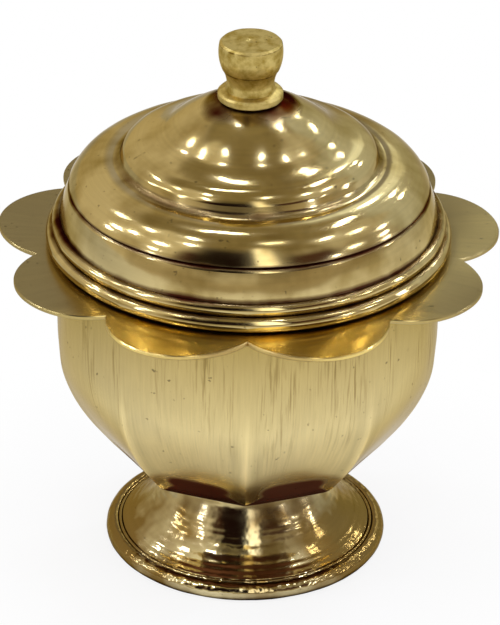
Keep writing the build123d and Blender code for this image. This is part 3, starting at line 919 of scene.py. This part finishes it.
# %% [markdown]
# ## Floor
# A white table. Near the box it is plain matt paint, so the box's shadow falls on it. Further
# out it turns into an even white, also in reflections, so that every view has a plain ground.
# What the metal mirrors of it is whitest in front and to the right, where the table lies open
# to the light, and greyer far off to the left and behind. Lamps alone could do this. Mixing
# the paint with an even white by the kind of ray keeps the picture's ground white all over.

# %% Build the table
EVEN_WHITE_FROM, EVEN_WHITE_AT, WHITENED = 0.012, 0.055, 0.8
OPEN_SIDE, GREYER_FROM, GREYER_AT, GREYER_NEAR, GREYER_FAR = (0.26, -0.966, 0), 0.1, 0.35, -0.12, -0.42
TABLE_HALF = 4
table_corners = [(x * TABLE_HALF, y * TABLE_HALF, 0) for x, y in ((-1, -1), (1, -1), (1, 1), (-1, 1))]
floor_mesh = bpy.data.meshes.new("white_table")
floor_mesh.from_pydata(table_corners, [], [(0, 1, 2, 3)])
floor = bpy.data.objects.new("white_table", floor_mesh)
scene.collection.objects.link(floor)
# White paint, rolled on: matt, with no sheen of its own.
table_paint = bpy.data.materials.new("table_white_matt_paint")
table_paint.use_nodes = True
paint = table_paint.node_tree
paint_surface = paint.nodes["Principled BSDF"]
paint_surface.inputs["Base Color"].default_value = linear("#fafafa")
paint_surface.inputs["Roughness"].default_value = 0.8
paint_surface.inputs["Specular IOR Level"].default_value = 0.0
print("table", 2 * TABLE_HALF, "m wide")

# %% Whiten the table away from the box
spot = add_node(paint, "ShaderNodeTexCoord", out="Object")
distance = add_node(paint, "ShaderNodeVectorMath", {0: spot}, operation="LENGTH", out="Value")
far = add_node(
    paint, "ShaderNodeMapRange", {"Value": distance, "From Min": EVEN_WHITE_FROM, "From Max": EVEN_WHITE_AT}
)
ray = add_node(paint, "ShaderNodeLightPath", out=None)
reflected = add_node(
    paint, "ShaderNodeMath", {0: ray["Is Glossy Ray"], 1: ray["Is Transmission Ray"]}, operation="MAXIMUM"
)
in_picture = add_node(
    paint, "ShaderNodeMath", {0: far, 1: 1 - WHITENED, 2: WHITENED}, operation="MULTIPLY_ADD"
)
in_picture = add_node(
    paint, "ShaderNodeMath", {0: in_picture, 1: ray["Is Camera Ray"]}, operation="MULTIPLY"
)
even = add_node(paint, "ShaderNodeMath", {0: reflected, 1: far, 2: in_picture}, operation="MULTIPLY_ADD")
way_out = add_node(paint, "ShaderNodeVectorMath", {0: spot}, operation="NORMALIZE")
openness = add_node(
    paint, "ShaderNodeVectorMath", {0: way_out, 1: OPEN_SIDE}, operation="DOT_PRODUCT", out="Value"
)
greyest = add_node(
    paint, "ShaderNodeMapRange",
    {"Value": distance, "From Min": GREYER_FROM, "From Max": GREYER_AT,
     "To Min": GREYER_NEAR, "To Max": GREYER_FAR},
)
greyer = add_node(
    paint, "ShaderNodeMapRange",
    {"Value": openness, "From Min": -0.3, "From Max": 0.5, "To Min": greyest, "To Max": 0.0},
)
strength = add_node(paint, "ShaderNodeMath", {0: reflected, 1: greyer, 2: 1.0}, operation="MULTIPLY_ADD")
white = add_node(paint, "ShaderNodeEmission", {"Color": (1, 1, 1, 1), "Strength": strength})
mixed = add_node(paint, "ShaderNodeMixShader", {0: even, 1: paint_surface.outputs[0], 2: white})
paint.links.new(mixed, paint.nodes["Material Output"].inputs["Surface"])
floor_mesh.materials.append(table_paint)
print("table even white from", EVEN_WHITE_AT, "m")

# %% [markdown]
# ## Room and lamps
# Polished metal shows whatever is round it, so the room matters as much as the brass. It could
# be built from panels. Here it is painted on the world as soft-edged patches, each by its
# direction from the box, because a patch is quicker to move than a panel: pale walls left and
# right, a grey wall behind with a bright window at its right end, a tan ceiling, and in front a
# dark opening with one upright window in it, which shows as the bright column on the foot.

# %% Paint the room
ROOM_COLOUR = "#b3aa99"
# Each patch: degrees to the right of the front, from and to; degrees up, from and to; the width
# of its soft edge in degrees; colour; brightness. Later patches cover earlier ones.
PATCHES = (
    (-220, 220, 52, 100, 12, "#9a8d6c", 1.0),  # ceiling
    (105, 170, -20, 50, 6, "#cfd2d2", 1.0),  # right wall, towards the back
    (157, 174, 20, 46, 4, "#eef6ff", 1.4),  # window at the back
    (-172, -100, -15, 50, 8, "#efe5d0", 0.82),  # left wall, towards the back
    (174, 230, 12, 42, 4, "#9898a4", 1.15),  # back wall, right half
    (-230, -172, 12, 42, 8, "#a6a4ae", 1.4),  # back wall, left half
    (-105, -48, -20, 26, 10, "#d8cdb4", 1.0),  # left wall, low
    (-105, -48, 26, 66, 8, "#eae2ce", 1.0),  # left wall, high
    (62, 125, 36, 62, 8, "#d6d0c4", 1.0),  # right wall, high
    (-75, 75, -20, 15, 6, "#b9ac92", 1.0),  # in front, low
    (-65, 5, 6, 14, 5, "#e8e0d0", 1.0),  # pale strip in it
    (-46, 60, 16, 42, 12, "#56382a", 1.0),  # dark opening
    (-38, 26, 12, 60, 18, "#1c0e0b", 1.0),  # its darkest part
    (6, 20, 16, 66, 8, "#ffffff", 3.0),  # upright window in front
)
world = bpy.data.worlds.new("photo_room")
scene.world = world
world.use_nodes = True
room = world.node_tree
direction = add_node(room, "ShaderNodeTexCoord", out="Generated")
towards = add_node(room, "ShaderNodeSeparateXYZ", {"Vector": direction}, out=None)
forward = add_node(room, "ShaderNodeMath", {0: towards["Y"], 1: -1.0}, operation="MULTIPLY")
around = add_node(room, "ShaderNodeMath", {0: towards["X"], 1: forward}, operation="ARCTAN2")
up = add_node(room, "ShaderNodeMath", {0: towards["Z"]}, operation="ARCSINE")
painted_room = linear(ROOM_COLOUR)
for round_from, round_to, up_from, up_to, soft, colour, level in PATCHES:
    covered = 1.0
    edges = ((around, round_from, 1), (around, round_to, -1), (up, up_from, 1), (up, up_to, -1))
    for value, start, way in edges:
        edge = add_node(
            room, "ShaderNodeMapRange",
            {"Value": value, "From Min": math.radians(start - way * soft / 2),
             "From Max": math.radians(start + way * soft / 2)},
            interpolation_type="SMOOTHSTEP",
        )
        covered = add_node(room, "ShaderNodeMath", {0: covered, 1: edge}, operation="MULTIPLY")
    shine = tuple(level * part for part in linear(colour)[:3]) + (1.0,)
    painted_room = add_node(
        room, "ShaderNodeMix", {"Factor": covered, 6: painted_room, 7: shine}, data_type="RGBA", out=2
    )
room.links.new(painted_room, room.nodes["Background"].inputs["Color"])
room.nodes["Background"].inputs["Strength"].default_value = 1.0
print("room of", len(PATCHES), "patches")

# %% [markdown]
# The lamps hang in the directions in which their white patches on lid and foot say they were.
# They are small and bright, because a large soft lamp would show as one broad sheen, and
# together with the room they light the table.

# %% Hang the lamps
LAMP_DISTANCE, LAMP_SIZE, LAMP_WATTS = 1.0, (0.06, 0.03), 0.32
LAMP_COLOUR = (0.86, 0.94, 1.2)  # a cool white, as linear values
# Direction of each lamp from the box: degrees from the front, to the right, and degrees up.
CEILING_LAMPS = (
    (-167, 72), (-151, 71), (-116, 43), (-97, 20), (-96, 29), (-94, 54), (-87, 37), (-75, 69), (-64, 41),
    (-62, 27), (-60, 16), (-53, 57), (40, 76), (54, 14), (56, 23), (71, 28), (80, 60), (92, 12), (94, 21),
    (95, 49), (100, 31), (132, 60), (138, 30), (142, 56), (148, 36), (161, 41),
)
for n, (degrees_round, degrees_up) in enumerate(CEILING_LAMPS):
    label = f"ceiling_lamp_{n + 1}"
    lamp = bpy.data.lights.new(label, "AREA")
    lamp.shape, lamp.size, lamp.size_y, lamp.energy = "RECTANGLE", *LAMP_SIZE, LAMP_WATTS
    lamp.color = LAMP_COLOUR
    holder = bpy.data.objects.new(label, lamp)
    turn, tilt = math.radians(degrees_round), math.radians(degrees_up)
    way = Vector((math.sin(turn) * math.cos(tilt), -math.cos(turn) * math.cos(tilt), math.sin(tilt)))
    holder.location = look_at + way * LAMP_DISTANCE
    holder.rotation_mode = "QUATERNION"
    holder.rotation_quaternion = (-way).to_track_quat("-Z", "Y")
    scene.collection.objects.link(holder)
bpy.context.scene.view_settings.view_transform = "Standard"
print("lamps", len(CEILING_LAMPS))
